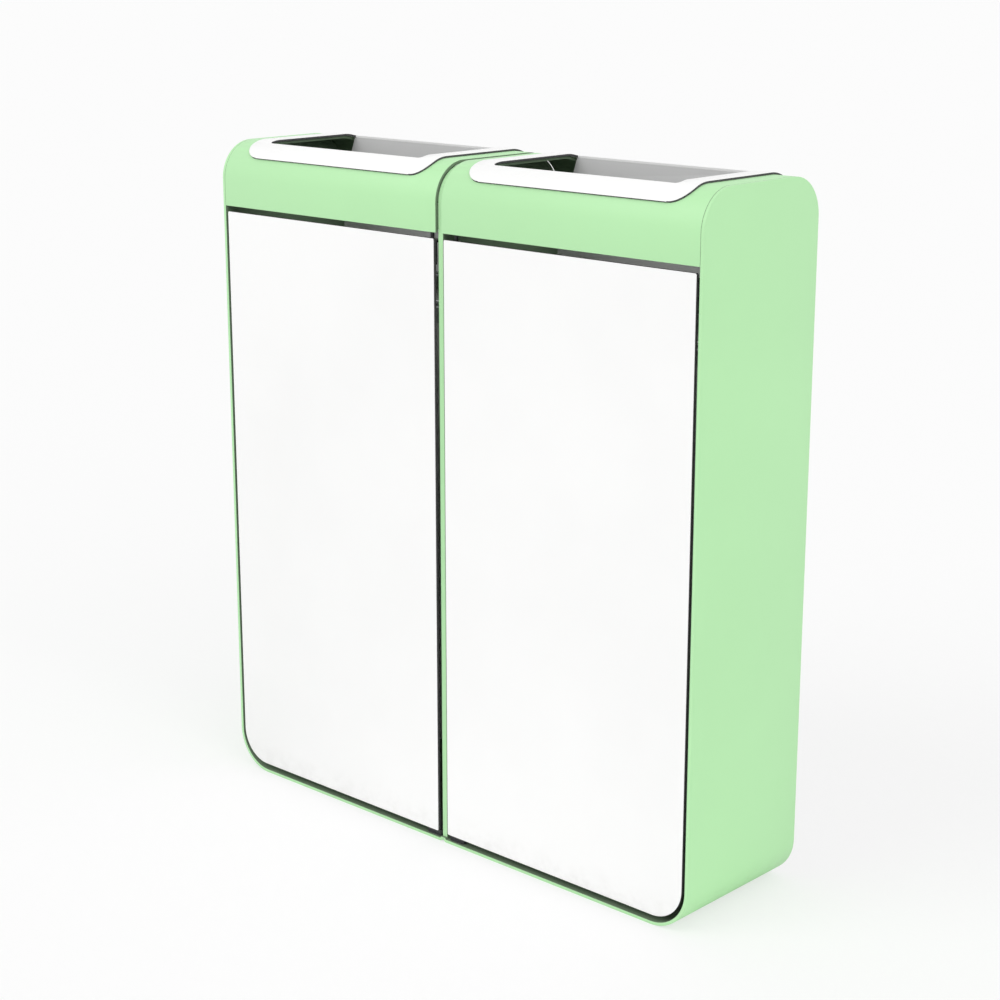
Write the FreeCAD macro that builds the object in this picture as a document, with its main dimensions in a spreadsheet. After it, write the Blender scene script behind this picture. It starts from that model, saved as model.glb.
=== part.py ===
import FreeCAD, Part
import math
import os
import re

import Sketcher

# Double recycling bin: two mirror-image cabinets of bent sheet standing side by side.
# The right cabinet is modelled with its inner side on x = 0, and the left one mirrors it.
# Origin: middle of the footprint on the floor. +X to the right, +Y to the back, +Z up.

SIZES = [
    # cabinet
    ("module_width", 410.0, "width of one cabinet"),
    ("body_depth", 221.0, "front face to back face"),
    ("body_height", 900.0, "floor to the top of the hood"),
    ("sheet", 4.0, "gauge of the cabinet sheet"),
    ("top_bend", 50.0, "outer radius over the front and back of the top"),
    ("floor_bend", 56.0, "outer radius of the rolled outer bottom corner"),
    ("divider_bend", 6.0, "outer radius of the inner bottom corner"),
    ("hood_drop", 86.0, "height of the hood's front and back bands"),
    ("hood_slit", 1.1, "slit between the hood and the inner wall"),
    ("hood_seam", 0.4, "seam between the hood and the outer wall"),
    # doors
    ("door_sheet", 4.0, "gauge of the door"),
    ("door_side_gap", 4.7, "gap between the door and each side wall"),
    ("door_top_gap", 7.7, "finger gap over the door"),
    ("door_bottom_gap", 8.9, "gap between the door and the floor sheet"),
    ("door_corner", 45.0, "radius of the door's outer bottom corner"),
    ("door_small_corner", 2.0, "radius of the door's other corners"),
    # pivots of the doors
    ("pivot_setback", 10.5, "door's front face to the pivot axis"),
    ("pivot_inset", 12.0, "door's inner edge to the pivot axis"),
    ("pivot_pin", 5.0, "diameter of the pivot pins"),
    ("pivot_play", 0.05, "radial play of a pin in its bush"),
    ("bush_wall", 1.2, "wall of the pivot bush"),
    ("bush_flange", 1.5, "thickness of the bush's flange"),
    ("bush_brim", 1.5, "how far the bush's flange stands out"),
    ("bush_seat", 0.1, "end play under a bush's flange"),
    ("hinge_gauge", 2.5, "gauge of the hinge angles"),
    ("hinge_length", 46.0, "length of a hinge angle"),
    ("hinge_leg", 30.0, "height of a hinge angle's upright leg"),
    ("hinge_shelf", 16.0, "depth of a hinge angle's level leg"),
    ("hinge_lift", 1.0, "lower hinge angle above the door's bottom edge"),
    ("hinge_drop", 3.0, "upper hinge angle below the door's top edge"),
    ("pin_reach", 4.0, "how far a pin passes its hinge angle"),
    ("pin_head", 2.5, "height of the upper pin's head"),
    ("pin_brim", 1.0, "how far the upper pin's head stands out"),
    ("block_length", 26.0, "floor block along the width"),
    ("block_depth", 18.0, "floor block along the depth"),
    ("block_corner", 2.5, "radius of the floor block's corners"),
    # rails behind the hood's bands
    ("rail_gauge", 2.0, "gauge of the cross rails"),
    ("rail_height", 30.0, "height of the rail's tall side"),
    ("rail_depth", 28.0, "depth of the rail"),
    ("rail_lip", 14.0, "height of the rail's short side"),
    ("rail_lift", 4.0, "rail above the hood's lower edge"),
    # rim
    ("rim_sheet", 2.5, "thickness of the rim"),
    ("rim_length", 343.0, "rim along the width"),
    ("rim_wrap", 53.7, "degrees that the rim follows round each bend"),
    ("mouth_wrap", 21.0, "degrees from the bend's start to the mouth"),
    ("rim_corner", 26.0, "radius of the rim's outer corners"),
    ("rim_band", 28.0, "width of the rim's band"),
    ("mouth_corner", 6.0, "radius of the mouth's corners"),
    ("rim_overlap", 5.0, "the hood's hole is this much larger than the mouth, each side"),
    ("flap_gauge", 3.0, "gauge of the guide flaps"),
    ("flap_drop", 26.0, "length of the guide flaps"),
    ("flap_relief", 0.5, "flap's end to the mouth's end"),
    # weld studs and their nuts
    ("stud", 5.0, "diameter of the weld studs"),
    ("stud_reach", 12.0, "length of the weld studs"),
    ("stud_play", 0.3, "radial play of a stud in its hole"),
    ("nut_flats", 8.0, "nut across its flats"),
    ("nut_height", 4.0, "height of a nut"),
    ("thread_play", 0.05, "radial gap between a stud and its nut"),
    ("rim_stud_spread", 240.0, "rim studs along the width, centre to centre"),
    ("hood_stud_inset", 60.0, "hood studs from the cabinet's sides"),
    ("shelf_stud_spread", 120.0, "shelf studs along the depth, centre to centre"),
    # back panel
    ("back_gauge", 1.0, "gauge of the back panel"),
    ("back_play", 0.5, "gap round the back panel"),
    ("tab_gauge", 2.0, "gauge of the welded tabs"),
    ("tab_width", 16.0, "width of a tab"),
    ("tab_height", 20.0, "height of a tab"),
    ("tab_first", 90.0, "lowest side tab above the floor"),
    ("tab_drop", 84.0, "hood's edge to the highest side tab's foot"),
    ("rivet", 3.2, "diameter of the rivets"),
    ("rivet_play", 0.05, "radial play of a rivet"),
    ("rivet_head", 1.2, "height of a rivet's head"),
    ("rivet_brim", 1.6, "how far a rivet's head stands out"),
    # bag shelf and clamp ring
    ("shelf_drop", 99.0, "hood's edge to the top of the bag shelf"),
    ("shelf_gauge", 2.0, "gauge of the bag shelf"),
    ("shelf_skirt", 18.0, "height of the shelf's folded edge"),
    ("shelf_front", 24.0, "front face to the shelf"),
    ("shelf_back", 6.0, "back face to the shelf"),
    ("shelf_margin", 22.0, "shelf's edge to its hole at the sides"),
    ("shelf_ledge", 12.0, "shelf's edge to its hole at front and back"),
    ("hole_corner", 30.0, "radius of the hole's corners"),
    ("wire", 6.0, "diameter of the clamp ring's wire"),
    ("wire_rest", 0.3, "clamp ring above the shelf"),
    ("wire_inset", 16.0, "side wall to the ring's centre line"),
    ("wire_front", 6.5, "shelf's front edge to the ring's centre line"),
    ("wire_back", 7.5, "shelf's back edge to the ring's centre line"),
    ("wire_bend", 34.0, "radius of the ring's bends"),
    ("clip_play", 0.08, "radial play of the wire in its clips"),
    ("clip_width", 12.0, "clip along the wire"),
    ("clip_wall", 2.5, "clip's wall round the wire"),
    ("clip_inset", 90.0, "cabinet's side to the clip"),
    # magnet catch
    ("catch_width", 12.0, "magnet case, out from the side wall"),
    ("catch_depth", 20.0, "magnet case along the depth"),
    ("catch_height", 40.0, "height of the magnet case"),
    ("catch_drop", 34.0, "hood's edge to the middle of the magnet case"),
    ("catch_corner", 2.5, "radius of the magnet case's corners"),
    ("catch_gap", 0.3, "magnet case to the strike plate"),
    ("strike_gauge", 2.0, "gauge of the strike plate"),
    ("strike_width", 20.0, "width of the strike plate"),
    ("strike_height", 34.0, "height of the strike plate"),
    ("strike_corner", 2.0, "radius of the strike plate's corners"),
    ("strike_inset", 1.0, "door's outer edge to the strike plate"),
    # bolts between the cabinets
    ("bolt", 6.0, "diameter of the joining bolts"),
    ("bolt_play", 0.2, "radial play of a bolt in its holes"),
    ("bolt_head", 4.0, "height of a bolt's head"),
    ("bolt_flats", 10.0, "bolt head across its flats"),
    ("bolt_nut", 5.0, "height of a bolt's nut"),
    ("bolt_tail", 3.0, "how far a bolt passes its nut"),
    ("bolt_spread", 140.0, "bolts along the depth, centre to centre"),
    ("bolt_low", 120.0, "lower bolts above the floor"),
    ("bolt_drop", 65.0, "top of the bag shelf to the upper bolts"),
    # outlines that only cut
    ("overcut", 5.0, "how far a cutting outline passes the sheet"),
    ("hair", 0.2, "straight that a cutting outline keeps beside a rounding"),
]

ALIASES = {alias for alias, size, note in SIZES}

# Lines and faces that several pieces share, written in the sheet's names.
FACE = "(-body_depth / 2)"
BACK = "(body_depth / 2)"
TOP = "body_height"
MIDDLE = "(module_width / 2)"
OUTER_FACE = "(module_width - sheet)"
HOOD_EDGE = "(body_height - hood_drop)"
DOOR_INNER = "(sheet + door_side_gap)"
DOOR_OUTER = "(module_width - sheet - door_side_gap)"
DOOR_BOTTOM = "(sheet + door_bottom_gap)"
DOOR_TOP = "(body_height - hood_drop - door_top_gap)"
DOOR_BACK = "(-body_depth / 2 + door_sheet)"
PIVOT_X = "(sheet + door_side_gap + pivot_inset)"
PIVOT_Y = "(-body_depth / 2 + pivot_setback)"
LOW_ANGLE = "(sheet + door_bottom_gap + hinge_lift)"
HIGH_ANGLE = "(body_height - hood_drop - door_top_gap - hinge_drop)"
RAIL_FOOT = "(body_height - hood_drop + rail_lift)"
STUD_LEVEL = "(body_height - hood_drop + rail_lift + rail_height / 2)"
PANEL_FACE = "(body_depth / 2 - rivet_head - back_gauge)"
MOUTH_LENGTH = "(rim_length - 2 * rim_band)"
BEND_Y = "(body_depth / 2 - top_bend)"
BEND_Z = "(body_height - top_bend)"
MOUTH_REACH = "(body_depth - 2 * top_bend + 2 * top_bend * sin(mouth_wrap * 1deg))"
STUD_LEAN = "((rim_wrap + mouth_wrap) / 2)"
SHELF_TOP = "(body_height - hood_drop - shelf_drop)"
SHELF_FRONT = "(-body_depth / 2 + shelf_front)"
SHELF_REAR = "(body_depth / 2 - shelf_back)"
SHELF_STUD = "(body_height - hood_drop - shelf_drop - shelf_gauge - shelf_skirt / 2)"
SHELF_MIDDLE = "((shelf_front - shelf_back) / 2)"
WIRE_LEVEL = "(body_height - hood_drop - shelf_drop + wire / 2 + wire_rest)"
WIRE_REAR = "(body_depth / 2 - shelf_back - wire_back)"
CATCH_MIDDLE = "(body_height - hood_drop - catch_drop)"
HIGH_BOLT = "(body_height - hood_drop - shelf_drop - bolt_drop)"
NUT_TOUCH = "sqrt(pow(top_bend - sheet; 2) - pow(nut_flats; 2) / 3)"

PLANES = {"XY": ("XY_Plane", 1), "XZ": ("XZ_Plane", -1), "YZ": ("YZ_Plane", 1)}
TURNS = {"X": ((0, 1, 0), 90), "Y": ((1, 0, 0), -90), "Z": ((0, 0, 1), 0)}
HEXAGON_SIDES = 6
# studs, rivets, bolts and their holes are drawn with this many sides
ROUND_SIDES = 12

doc = FreeCAD.newDocument("double_bin")
sheet = doc.addObject("Spreadsheet::Sheet", "sizes")
for row, (alias, size, note) in enumerate(SIZES, start=1):
    sheet.set(f"A{row}", note)
    sheet.set(f"B{row}", str(size))
    sheet.setAlias(f"B{row}", alias)
doc.recompute()


# ---------------------------------------------------------------- expressions and sketches

def linked(text):
    """Point every size named in the text at its cell."""
    def cell(word):
        return f"sizes.{word.group()}" if word.group() in ALIASES else word.group()
    return re.sub(r"[a-z]+(?:_[a-z]+)*", cell, str(text))


def bind(item, place, text):
    item.setExpression(place, linked(text))


def value(text):
    return float(sheet.evalExpression(re.sub(r"sizes\.", "", linked(text))))


def new_body(label):
    body = doc.addObject("PartDesign::Body", label)
    body.Label = label
    body.AllowCompound = True
    return body


def new_sketch(body, plane, level):
    """Open a sketch on one of the body's planes, moved to the level along that plane's axis."""
    role, sense = PLANES[plane]
    sketch = body.newObject("Sketcher::SketchObject", f"{body.Label}_sketch")
    support = next(item for item in body.Origin.OriginFeatures if item.Role == role)
    sketch.AttachmentSupport = [(support, "")]
    sketch.MapMode = "FlatFace"
    bind(sketch, "AttachmentOffset.Base.z", f"{sense} * ({level})")
    return sketch


def leaning_sketch(body, sense, lean, level):
    """Open a sketch square to a radius of the top's front (-1) or back (1) bend.

    The lean is the radius' angle from upright, and the level is measured along it.
    The sketch's second axis points to the back, and downhill at the back bend.
    """
    sketch = new_sketch(body, "XY", "0")
    offset = sketch.AttachmentOffset
    offset.Rotation = FreeCAD.Rotation(FreeCAD.Vector(1, 0, 0), 1.0)
    sketch.AttachmentOffset = offset
    bind(sketch, "AttachmentOffset.Rotation.Angle", f"{-sense} * ({lean}) * 1deg")
    bind(sketch, "AttachmentOffset.Base.y", f"{sense} * ({BEND_Y} + ({level}) * sin(({lean}) * 1deg))")
    bind(sketch, "AttachmentOffset.Base.z", f"{BEND_Z} + ({level}) * cos(({lean}) * 1deg)")
    doc.recompute()
    return sketch


def dimension(sketch, kind, item, point, text):
    number = sketch.addConstraint(Sketcher.Constraint(kind, item, point, value(text)))
    bind(sketch, f"Constraints[{number}]", text)


def trace(sketch, corners):
    """Draw a closed outline. Each corner is (across, up) or (across, up, radius)."""
    spots = [FreeCAD.Vector(value(corner[0]), value(corner[1]), 0) for corner in corners]
    count = len(corners)
    enters = []
    leaves = []
    arcs = []
    for index, corner in enumerate(corners):
        spot = spots[index]
        arrive = (spot - spots[index - 1]).normalize()
        depart = (spots[(index + 1) % count] - spot).normalize()
        radius = value(corner[2]) if len(corner) > 2 else 0.0
        if radius <= 0.0:
            enters.append(spot)
            leaves.append(spot)
            arcs.append(None)
            continue
        setback = radius * math.tan(arrive.getAngle(depart) / 2)
        enter = spot - arrive * setback
        leave = spot + depart * setback
        left_turn = arrive.x * depart.y - arrive.y * depart.x > 0
        side = 1 if left_turn else -1
        centre = enter + FreeCAD.Vector(-arrive.y, arrive.x, 0) * radius * side
        first, last = (enter, leave) if left_turn else (leave, enter)
        start = math.atan2(first.y - centre.y, first.x - centre.x)
        stop = math.atan2(last.y - centre.y, last.x - centre.x)
        circle = Part.Circle(centre, FreeCAD.Vector(0, 0, 1), radius)
        arcs.append((Part.ArcOfCircle(circle, start, stop), left_turn))
        enters.append(enter)
        leaves.append(leave)
    lines = []
    for index in range(count):
        line = Part.LineSegment(leaves[index], enters[(index + 1) % count])
        lines.append(sketch.addGeometry(line))
    for index, corner in enumerate(corners):
        before, after = lines[index - 1], lines[index]
        if arcs[index] is None:
            sketch.addConstraint(Sketcher.Constraint("Coincident", before, 2, after, 1))
            dimension(sketch, "DistanceX", after, 1, corner[0])
            dimension(sketch, "DistanceY", after, 1, corner[1])
            continue
        arc, left_turn = arcs[index]
        bend = sketch.addGeometry(arc)
        mark = sketch.addGeometry(Part.Point(spots[index]), True)
        dimension(sketch, "DistanceX", mark, 1, corner[0])
        dimension(sketch, "DistanceY", mark, 1, corner[1])
        sketch.addConstraint(Sketcher.Constraint("PointOnObject", mark, 1, before))
        sketch.addConstraint(Sketcher.Constraint("PointOnObject", mark, 1, after))
        near, far = (1, 2) if left_turn else (2, 1)
        sketch.addConstraint(Sketcher.Constraint("Tangent", before, 2, bend, near))
        sketch.addConstraint(Sketcher.Constraint("Tangent", bend, far, after, 1))
        number = sketch.addConstraint(Sketcher.Constraint("Radius", bend, arc.Radius))
        bind(sketch, f"Constraints[{number}]", corner[2])


def box_outline(sketch, across, up, radius="0"):
    """Draw a rectangle between two pairs of bounds, with the same radius at each corner."""
    left, right = across
    low, high = up
    trace(sketch, [(left, low, radius), (right, low, radius), (right, high, radius), (left, high, radius)])


def ring(sketch, across, up, diameter):
    spot = FreeCAD.Vector(value(across), value(up), 0)
    circle = Part.Circle(spot, FreeCAD.Vector(0, 0, 1), value(diameter) / 2)
    item = sketch.addGeometry(circle)
    dimension(sketch, "DistanceX", item, 3, across)
    dimension(sketch, "DistanceY", item, 3, up)
    number = sketch.addConstraint(Sketcher.Constraint("Diameter", item, value(diameter)))
    bind(sketch, f"Constraints[{number}]", diameter)


def small_ring(sketch, across, up, diameter):
    """Draw a small round outline with straight sides, its corners on the circle."""
    corners = []
    for number in range(ROUND_SIDES):
        angle = f"{number * 360 / ROUND_SIDES} * 1deg"
        reach = f"({diameter}) / 2"
        corners.append((f"({across}) + {reach} * cos({angle})", f"({up}) + {reach} * sin({angle})"))
    trace(sketch, corners)


def faces_front(sketch):
    """True for a sketch on the XZ plane, whose own axis points against +Y."""
    return sketch.Placement.Rotation.multVec(FreeCAD.Vector(0, 0, 1)).y < -0.99


def pad(body, sketch, length):
    """Add material from the sketch towards its axis' positive end."""
    feature = body.newObject("PartDesign::Pad", f"{body.Label}_pad")
    feature.Profile = sketch
    feature.Reversed = faces_front(sketch)
    bind(feature, "Length", length)
    sketch.Visibility = False
    doc.recompute()
    return feature


def pocket(body, sketch, length):
    """Cut from the sketch towards its axis' positive end, and make sure that it cuts."""
    before = body.Shape.Volume
    feature = body.newObject("PartDesign::Pocket", f"{body.Label}_pocket")
    feature.Profile = sketch
    feature.Reversed = not faces_front(sketch)
    bind(feature, "Length", length)
    sketch.Visibility = False
    doc.recompute()
    if body.Shape.Volume >= before:
        raise RuntimeError(f"{feature.Name} cut nothing")
    return feature


def aimed(item, centre, axis):
    """Put the item's foot at the centre, with its length along +X, +Y or +Z."""
    direction, angle = TURNS[axis]
    item.Placement.Rotation = FreeCAD.Rotation(FreeCAD.Vector(*direction), angle)
    for letter, text in zip("xyz", centre):
        bind(item, f"Placement.Base.{letter}", text)
    return item


def cylinder(name, centre, axis, diameter, length):
    item = doc.addObject("Part::Cylinder", name)
    bind(item, "Radius", f"({diameter}) / 2")
    bind(item, "Height", length)
    return aimed(item, centre, axis)


def bar(name, diameter, length, sides):
    """A straight-sided bar, as wide as the diameter from corner to corner."""
    item = doc.addObject("Part::Prism", name)
    item.Polygon = sides
    bind(item, "Circumradius", f"({diameter}) / 2")
    bind(item, "Height", length)
    return item


def bars(name, spots, axis, diameter, length, sides=ROUND_SIDES):
    """Equal bars from each of the spots along +X, +Y or +Z."""
    return grouped(name, [aimed(bar(f"{name}_bar", diameter, length, sides), spot, axis) for spot in spots])


def leaning_bars(name, level, diameter, length, sides=ROUND_SIDES):
    """Equal bars square to the front and back bends, in line with the rim's studs.

    They start at the level, measured from the bend's middle, and run outwards.
    """
    items = []
    for sense in (-1, 1):
        for across in rim_stud_spots():
            item = bar(f"{name}_bar", diameter, length, sides)
            item.Placement.Rotation = FreeCAD.Rotation(FreeCAD.Vector(1, 0, 0), 1.0)
            bind(item, "Placement.Rotation.Angle", f"{-sense} * {STUD_LEAN} * 1deg")
            bind(item, "Placement.Base.x", across)
            bind(item, "Placement.Base.y", f"{sense} * ({BEND_Y} + ({level}) * sin({STUD_LEAN} * 1deg))")
            bind(item, "Placement.Base.z", f"{BEND_Z} + ({level}) * cos({STUD_LEAN} * 1deg)")
            items.append(item)
    return grouped(name, items)


def joined(label, items):
    item = doc.addObject("Part::MultiFuse", label)
    item.Shapes = items
    item.Label = label
    return item


def cut(label, base, tool):
    """Take the tool away from the base, and make sure that it cuts."""
    item = doc.addObject("Part::Cut", label)
    item.Base = base
    item.Tool = tool
    item.Label = label
    doc.recompute()
    if item.Shape.Volume >= base.Shape.Volume:
        raise RuntimeError(f"{label}'s tool cut nothing")
    return item


def grouped(label, items):
    item = doc.addObject("Part::Compound", label)
    item.Links = items
    item.Label = label
    return item


def mirrored(label, source):
    """The same piece in the other cabinet, mirrored in the plane between the two."""
    item = doc.addObject("Part::Mirroring", label)
    item.Source = source
    item.Normal = FreeCAD.Vector(1, 0, 0)
    item.Label = label
    return item


# ---------------------------------------------------------------- cabinet sheet

def hood_profile(inset, foot):
    """The cabinet's outline seen from the side, drawn in by the inset, open at its foot."""
    bend = f"top_bend - ({inset})"
    front = f"{FACE} + ({inset})"
    rear = f"{BACK} - ({inset})"
    crown = f"{TOP} - ({inset})"
    return [(front, foot), (front, crown, bend), (rear, crown, bend), (rear, foot)]


def make_shell():
    body = new_body("bent_sheet")
    # inner wall, floor and outer wall are one bent sheet
    band = new_sketch(body, "XZ", FACE)
    trace(band, [
        ("0", TOP),
        ("0", "0", "divider_bend"),
        ("module_width", "0", "floor_bend"),
        ("module_width", TOP),
        (OUTER_FACE, TOP),
        (OUTER_FACE, "sheet", "floor_bend - sheet"),
        ("sheet", "sheet", "divider_bend - sheet"),
        ("sheet", TOP),
    ])
    pad(body, band, "body_depth")
    # both walls are rounded over the front and the back of the top
    corners = new_sketch(body, "YZ", "0")
    for sense, edge in ((-1, FACE), (1, BACK)):
        trace(corners, [
            (f"{edge} + {sense} * overcut", f"{TOP} + overcut"),
            (f"{edge} + {sense} * overcut", f"{TOP} - top_bend - overcut"),
            (edge, f"{TOP} - top_bend - overcut"),
            (edge, TOP, "top_bend"),
            (f"{edge} - {sense} * (top_bend + overcut)", TOP),
            (f"{edge} - {sense} * (top_bend + overcut)", f"{TOP} + overcut"),
        ])
    pocket(body, corners, "module_width")
    # the inner wall lies one gauge inside the face, the top and the hood's back band
    inset = new_sketch(body, "YZ", "0")
    trace(inset, [
        (f"{FACE} - overcut", "divider_bend"),
        (f"{FACE} - overcut", f"{TOP} + overcut"),
        (f"{BACK} + overcut", f"{TOP} + overcut"),
        (f"{BACK} + overcut", HOOD_EDGE),
        (f"{BACK} - sheet", HOOD_EDGE),
        (f"{BACK} - sheet", f"{TOP} - sheet", "top_bend - sheet"),
        (f"{FACE} + sheet", f"{TOP} - sheet", "top_bend - sheet"),
        (f"{FACE} + sheet", "divider_bend"),
    ])
    pocket(body, inset, "sheet")
    # tabs that the back panel is riveted to
    tabs = new_sketch(body, "XZ", f"{PANEL_FACE} - tab_gauge")
    for across, up in tab_spots():
        box_outline(tabs, across, up)
    pad(body, tabs, "tab_gauge")
    # weld studs for the bag shelf
    walls = ("sheet", f"{OUTER_FACE} - stud_reach")
    spots = [(wall, along, SHELF_STUD) for wall in walls for along in shelf_stud_spots()]
    studs = bars("shelf_studs", spots, "X", "stud", "stud_reach")
    # holes for the bolts between the cabinets and for the back panel's rivets
    spots = [("0", along, up) for along, up in bolt_spots()]
    bolt_holes = bars("bolt_holes", spots, "X", "bolt + 2 * bolt_play", "sheet")
    rivet_holes = rivet_bars("tab_holes", f"{PANEL_FACE} - tab_gauge", "rivet + 2 * rivet_play", "tab_gauge")
    sheet_with_studs = joined("sheet_with_studs", [body, studs])
    return cut("right_shell", sheet_with_studs, grouped("shell_holes", [bolt_holes, rivet_holes]))


def tab_spots():
    """Bounds of the tabs behind the panel: three on each wall and one on the floor."""
    spots = []
    for step in range(3):
        low = f"tab_first + {step} * ({HOOD_EDGE} - tab_drop - tab_first) / 2"
        up = (low, f"{low} + tab_height")
        spots.append((("sheet", "sheet + tab_width"), up))
        spots.append(((f"{OUTER_FACE} - tab_width", OUTER_FACE), up))
    spots.append(((f"{MIDDLE} - tab_width", f"{MIDDLE} + tab_width"), ("sheet", "sheet + tab_height")))
    return spots


def rivet_bars(name, level, diameter, length):
    """Bars towards the back from the middle of each tab."""
    spots = []
    for (left, right), (low, high) in tab_spots():
        spots.append((f"({left} + {right}) / 2", level, f"({low} + {high}) / 2"))
    return bars(name, spots, "Y", diameter, length)


def bolt_spots():
    return [(f"{sense} * bolt_spread / 2", level) for sense in (-1, 1) for level in ("bolt_low", HIGH_BOLT)]


def shelf_stud_spots():
    return [f"({SHELF_MIDDLE} + {sense} * shelf_stud_spread / 2)" for sense in (-1, 1)]


def rim_stud_spots():
    return [f"{MIDDLE} + {side} * rim_stud_spread / 2" for side in (-1, 1)]


def hood_stud_spots():
    return ["hood_stud_inset", "(module_width - hood_stud_inset)"]


def make_hood():
    body = new_body("bent_hood")
    band = new_sketch(body, "YZ", "sheet + hood_slit")
    trace(band, hood_profile("0", HOOD_EDGE) + hood_profile("sheet", HOOD_EDGE)[::-1])
    pad(body, band, "module_width - 2 * sheet - hood_slit - hood_seam")
    # hole under the rim
    hole = new_sketch(body, "XY", f"{TOP} - top_bend")
    half_length = f"({MOUTH_LENGTH} / 2 + rim_overlap)"
    half_reach = f"({MOUTH_REACH} / 2 + rim_overlap)"
    across = (f"{MIDDLE} - {half_length}", f"{MIDDLE} + {half_length}")
    box_outline(hole, across, (f"-{half_reach}", half_reach), "mouth_corner")
    pocket(body, hole, "top_bend + overcut")
    # weld studs for the rails, inside the front and back bands
    levels = (f"{FACE} + sheet", f"{BACK} - sheet - stud_reach")
    spots = [(across, level, STUD_LEVEL) for level in levels for across in hood_stud_spots()]
    studs = bars("rail_studs", spots, "Y", "stud", "stud_reach")
    # holes for the rim's studs
    level = "top_bend - sheet - overcut"
    holes = leaning_bars("rim_holes", level, "stud + 2 * stud_play", "sheet + 2 * overcut")
    return cut("right_hood", joined("hood_with_studs", [body, studs]), holes)


def make_rim():
    body = new_body("bent_rim")
    left = f"({MIDDLE} - rim_length / 2)"
    right = f"({MIDDLE} + rim_length / 2)"
    # strip bent over the hood: a band of the side profile, one gauge thick
    strip = new_sketch(body, "YZ", left)
    foot = f"({BEND_Z} - overcut)"
    trace(strip, hood_profile("-rim_sheet", foot) + hood_profile("0", foot)[::-1])
    pad(body, strip, "rim_length")
    # its lower edges are cut square to the bends
    ends = new_sketch(body, "YZ", "0")
    for sense in (-1, 1):
        near = cut_spot("top_bend / 2")
        far = cut_spot("2 * top_bend")
        low = f"{foot} - overcut"
        corners = (near, far, (far[0], low), (near[0], low))
        trace(ends, [(f"{sense} * ({across})", up) for across, up in corners])
    pocket(body, ends, "module_width")
    # rounded corners, cut square to the bends too
    for sense in (-1, 1):
        lean = "(rim_wrap - rim_corner / top_bend * 90 / pi)"
        edge = f"top_bend * sin((rim_wrap - {lean}) * 1deg)"
        corners = leaning_sketch(body, sense, lean, "0")
        straight = "(rim_corner + hair)"
        for side, end in ((-1, left), (1, right)):
            trace(corners, [
                (f"{end} + {side} * overcut", f"{sense} * ({edge} - {straight})"),
                (end, f"{sense} * ({edge} - {straight})"),
                (end, f"{sense} * ({edge})", "rim_corner"),
                (f"{end} - {side} * {straight}", f"{sense} * ({edge})"),
                (f"{end} - {side} * {straight}", f"{sense} * ({edge} + overcut)"),
                (f"{end} + {side} * overcut", f"{sense} * ({edge} + overcut)"),
            ])
        pocket(body, corners, "2 * top_bend")
    mouth = new_sketch(body, "XY", BEND_Z)
    across = (f"{MIDDLE} - {MOUTH_LENGTH} / 2", f"{MIDDLE} + {MOUTH_LENGTH} / 2")
    box_outline(mouth, across, (f"-{MOUTH_REACH} / 2", f"{MOUTH_REACH} / 2"), "mouth_corner")
    pocket(body, mouth, "2 * top_bend")
    # guide flaps folded down from the mouth's long edges
    flaps = new_sketch(body, "YZ", f"{across[0]} + flap_relief")
    for sense in (-1, 1):
        trace(flaps, flap_outline(sense))
    pad(body, flaps, f"{MOUTH_LENGTH} - 2 * flap_relief")
    # studs that pass through the hood, hidden behind the flaps
    studs = leaning_bars("rim_studs", "top_bend - stud_reach", "stud", "stud_reach + rim_sheet / 2")
    return joined("right_rim", [body, studs])


def cut_spot(reach):
    """A point on the line that squares the rim's lower edge, at a distance from the bend's middle."""
    return (f"{BEND_Y} + ({reach}) * sin(rim_wrap * 1deg)", f"{BEND_Z} + ({reach}) * cos(rim_wrap * 1deg)")


def flap_outline(sense):
    """One flap seen from the side: square to the bend where the mouth's long edge crosses it."""
    along = f"({BEND_Y} + top_bend * sin(mouth_wrap * 1deg))"
    crown = f"({BEND_Z} + top_bend * cos(mouth_wrap * 1deg))"
    lean = "mouth_wrap * 1deg"
    root = "rim_sheet / 2"

    def spot(down, out):
        across = f"{along} - ({down}) * sin({lean}) + ({out}) * cos({lean})"
        height = f"{crown} - ({down}) * cos({lean}) - ({out}) * sin({lean})"
        return (f"{sense} * ({across})", height)

    return [
        spot(f"-({root})", "0"),
        spot("flap_drop", "0"),
        spot("flap_drop", "flap_gauge"),
        spot(f"-({root})", "flap_gauge"),
    ]


# ---------------------------------------------------------------- doors

def make_door():
    body = new_body("right_door")
    outline = new_sketch(body, "XZ", FACE)
    trace(outline, [
        (DOOR_INNER, DOOR_BOTTOM, "door_small_corner"),
        (DOOR_OUTER, DOOR_BOTTOM, "door_corner"),
        (DOOR_OUTER, DOOR_TOP, "door_small_corner"),
        (DOOR_INNER, DOOR_TOP, "door_small_corner"),
    ])
    pad(body, outline, "door_sheet")
    return body


def make_hinge_angle(label, level, leg_low, leg_high):
    """An angle welded to the door's back, with the bush's seat in its level leg."""
    body = new_body(label)
    seat = new_sketch(body, "XY", level)
    nose = "(hinge_shelf / 2)"
    trace(seat, [
        (DOOR_INNER, DOOR_BACK),
        (f"{DOOR_INNER} + hinge_length", DOOR_BACK),
        (f"{DOOR_INNER} + hinge_length", f"{DOOR_BACK} + hinge_gauge"),
        (f"{DOOR_INNER} + hinge_length - {nose}", f"{DOOR_BACK} + hinge_shelf", nose),
        (DOOR_INNER, f"{DOOR_BACK} + hinge_shelf", nose),
    ])
    ring(seat, PIVOT_X, PIVOT_Y, "pivot_pin + 2 * (pivot_play + bush_wall)")
    pad(body, seat, "hinge_gauge")
    leg = new_sketch(body, "XZ", DOOR_BACK)
    box_outline(leg, (DOOR_INNER, f"{DOOR_INNER} + hinge_length"), (leg_low, leg_high))
    pad(body, leg, "hinge_gauge")
    return body


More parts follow.
